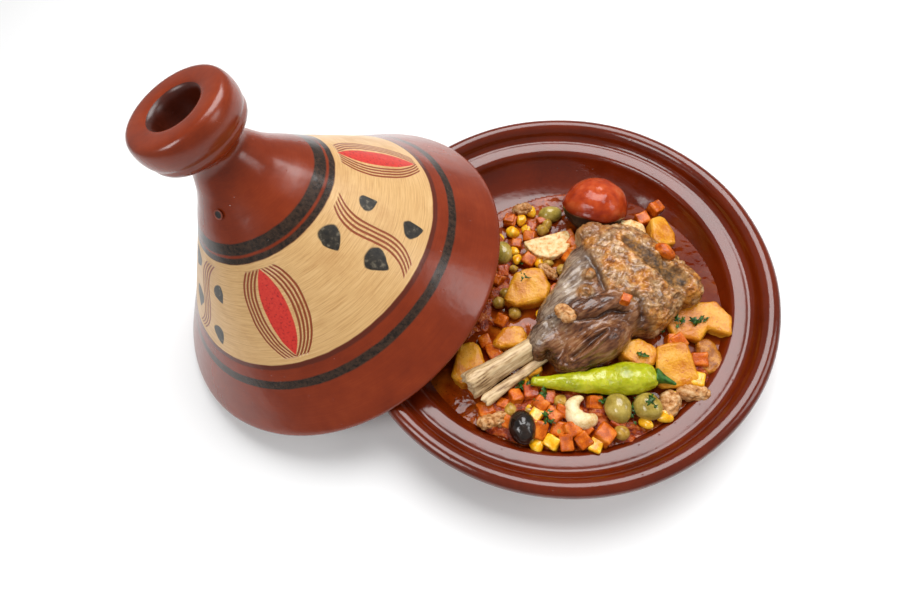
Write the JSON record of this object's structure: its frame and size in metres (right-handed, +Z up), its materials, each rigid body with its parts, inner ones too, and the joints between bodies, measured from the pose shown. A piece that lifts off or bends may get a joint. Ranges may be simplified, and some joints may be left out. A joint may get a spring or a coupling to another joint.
{
  "type": "lamb shank tagine",
  "caption": "Round glazed dish holding a stewed meat shank with vegetables, olives and nuts, with its hollow conical knobbed lid leaning on the rim.",
  "frame": {"origin": "centre of the dish's flat foot, on the surface it stands on", "axes": "+Z up; the lid leans over from the -X side, so +X points away from it"},
  "size_m": [0.4482, 0.3, 0.2019],
  "materials": {
    "dish_glaze": "glossy dark red-brown lead-free glaze over earthenware",
    "lid_glaze": "glossy red-brown glaze with a painted and incised cream band",
    "sauce": "wet, thin tomato and paprika sauce with fat on top",
    "meat": "braised meat, grey brown and glistening, with an orange fatty cut end",
    "bone": "pale dry bone, fibrous along its length",
    "tomato": "cooked tomato skin, wet and shiny",
    "chilli": "waxy yellow-green chilli skin",
    "stem": "green stalk and leaf",
    "olive": "oily green olive skin",
    "black_olive": "oily black olive skin",
    "potato": "soft boiled potato, stained by the sauce",
    "nut": "boiled nut kernel",
    "carrot": "soft boiled carrot, wet",
    "corn": "plump wet corn",
    "pea": "boiled pea skin",
    "vegetable_mix": "small diced vegetables in sauce"
  },
  "bodies": {
    "root": {"dish": "dish_glaze", "lid": "lid_glaze", "tomato": "tomato", "chilli": "chilli", "chilli_stem": "stem", "shank_bone": "bone", "shin_bone": "bone", "lamb_meat": "meat", "potato_slice": "potato", "potato_big": "potato", "potato_small": "potato", "potato_under_lid": "potato", "potato_under_bone": "potato", "potato_notched": "potato", "potato_square": "potato", "potato_wedge": "potato", "potato_far": "potato", "potato_pale": "potato", "potato_brown": "potato", "sauce": "sauce", "heap_front": "vegetable_mix", "heap_left": "vegetable_mix", "heap_right": "vegetable_mix", "walnut_top": "nut", "carrot_top_1": "carrot", "carrot_top_2": "carrot", "cashew": "nut", "olive_1": "olive", "olive_2": "olive", "olive_3": "olive", "olive_4": "olive", "black_olive": "black_olive", "walnut_1": "nut", "walnut_2": "nut", "walnut_3": "nut", "walnut_4": "nut", "walnut_5": "nut", "carrot_lone": "carrot", "carrot_1": "carrot", "carrot_2": "carrot", "carrot_3": "carrot", "carrot_4": "carrot", "carrot_5": "carrot", "carrot_6": "carrot", "corn_1": "corn", "corn_2": "corn", "corn_3": "corn", "corn_4": "corn", "pea_1": "pea", "pea_2": "pea", "pea_3": "pea"}
  },
  "joints": []
}
